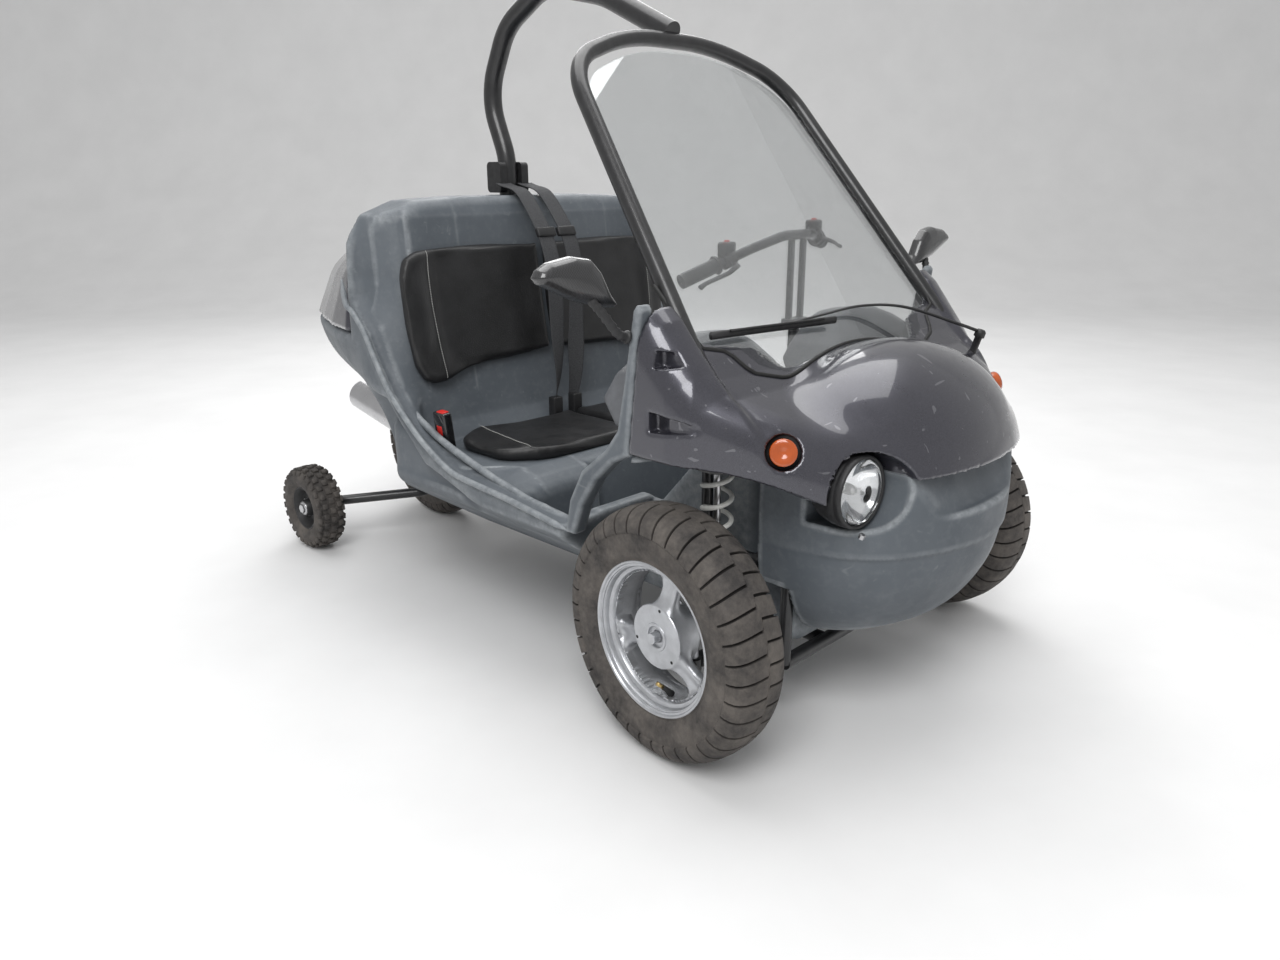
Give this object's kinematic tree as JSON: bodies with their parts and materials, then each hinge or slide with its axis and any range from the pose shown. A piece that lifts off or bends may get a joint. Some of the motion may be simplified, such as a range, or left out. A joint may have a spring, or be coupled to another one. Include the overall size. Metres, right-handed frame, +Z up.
{
  "type": "three wheeled car",
  "caption": "Open two-seat three wheeled car with a hooped windscreen, spine roll bar, moulded seat tub, glossy nose cowl and stabiliser wheels",
  "frame": {"origin": "on the ground below the middle of the overall length, on the middle plane", "axes": "+Z up, -Y the way the car drives, +X the car's left"},
  "size_m": [1.3169, 2.0589, 1.4754],
  "materials": {
    "tub_plastic": "moulded slate grey plastic, scuffed",
    "gloss_paint": "metallic graphite grey paint under clear coat",
    "black_steel": "satin black powder coat",
    "clear_glass": "clear screen",
    "black_vinyl": "soft black vinyl with pale stitching",
    "webbing": "woven dark grey belt webbing",
    "black_plastic": "black moulded plastic",
    "dash_plastic": "pale grey moulded plastic",
    "cast_alloy": "silver cast wheel",
    "tyre_rubber": "dusty tyre rubber",
    "rubber": "black rubber",
    "white_spring": "off-white painted spring steel",
    "bright_steel": "plain steel",
    "engine_alloy": "cast engine block",
    "lamp_lens": "clear headlight lens",
    "amber_lens": "amber lens",
    "red_lens": "red lens",
    "mirror_shell": "dark woven-look lacquered shell"
  },
  "bodies": {
    "body": {"body_tub": "tub_plastic", "front_bumper": "tub_plastic", "front_cowl": "gloss_paint", "engine_cover": "gloss_paint", "windscreen_frame": "black_steel", "windscreen": "clear_glass", "roll_bar": "black_steel", "headlight_bowls": "black_plastic", "headlight_lenses": "lamp_lens", "belt_buckles": "black_plastic", "belt_top_covers": "black_plastic", "dash_pods": "dash_plastic", "chassis_frame": "black_steel", "engine_block": "engine_alloy", "swing_arm": "black_steel", "exhaust_silencer": "bright_steel", "wiper": "black_plastic", "indicators": "amber_lens", "tail_lamps": "red_lens", "backrest_left": "black_vinyl", "seat_cushion_left": "black_vinyl", "mirror_left": "mirror_shell", "backrest_right": "black_vinyl", "seat_cushion_right": "black_vinyl", "mirror_right": "mirror_shell", "seat_belts": "webbing", "outrigger_arms": "black_steel", "lower_arms": "black_steel", "upper_arms": "black_steel", "coil_springs": "white_spring", "dampers": "bright_steel"},
    "steering": {"steering_column": "black_steel", "handlebar": "black_steel"},
    "knuckle_left": {"knuckle_left": "black_steel"},
    "wheel_front_left": {"tyre_front_left": "tyre_rubber", "rim_front_left": "cast_alloy"},
    "outrigger_wheel_left": {"outrigger_tyre_left": "tyre_rubber", "outrigger_rim_left": "black_steel"},
    "knuckle_right": {"knuckle_right": "black_steel"},
    "wheel_front_right": {"tyre_front_right": "tyre_rubber", "rim_front_right": "cast_alloy"},
    "outrigger_wheel_right": {"outrigger_tyre_right": "tyre_rubber", "outrigger_rim_right": "black_steel"},
    "wheel_rear": {"tyre_rear": "tyre_rubber", "rim_rear": "cast_alloy"}
  },
  "joints": [
    {"name": "steering_turn", "type": "hinge", "parent": "body", "child": "steering", "pos_m": [0.2, -0.4275, 0.5], "axis": [0, 0, 1], "range_deg": [-20.5, 29.5]},
    {"name": "kingpin_left", "type": "hinge", "parent": "body", "child": "knuckle_left", "pos_m": [0.42, -0.6705, 0.24], "axis": [0, 0, 1], "range_deg": [-20.5, 29.5]},
    {"name": "front_wheel_left", "type": "hinge", "parent": "knuckle_left", "child": "wheel_front_left", "pos_m": [0.476, -0.67491, 0.24], "axis": [0.9969, -0.0785, 0], "continuous": true},
    {"name": "kingpin_right", "type": "hinge", "parent": "body", "child": "knuckle_right", "pos_m": [-0.42, -0.6705, 0.24], "axis": [0, 0, 1], "range_deg": [-20.5, 29.5]},
    {"name": "front_wheel_right", "type": "hinge", "parent": "knuckle_right", "child": "wheel_front_right", "pos_m": [-0.476, -0.66609, 0.24], "axis": [-0.9969, 0.0785, 0], "continuous": true},
    {"name": "rear_wheel", "type": "hinge", "parent": "body", "child": "wheel_rear", "pos_m": [0, 0.7745, 0.222], "axis": [-1, 0, 0], "continuous": true},
    {"name": "outrigger_spin_left", "type": "hinge", "parent": "body", "child": "outrigger_wheel_left", "pos_m": [0.43, 0.7795, 0.12], "axis": [1, 0, 0], "continuous": true},
    {"name": "outrigger_spin_right", "type": "hinge", "parent": "body", "child": "outrigger_wheel_right", "pos_m": [-0.43, 0.7795, 0.12], "axis": [-1, 0, 0], "continuous": true}
  ],
  "couplings": [
    {"joint": "kingpin_left", "follows": "steering_turn", "ratio": 1},
    {"joint": "kingpin_right", "follows": "steering_turn", "ratio": 1}
  ]
}
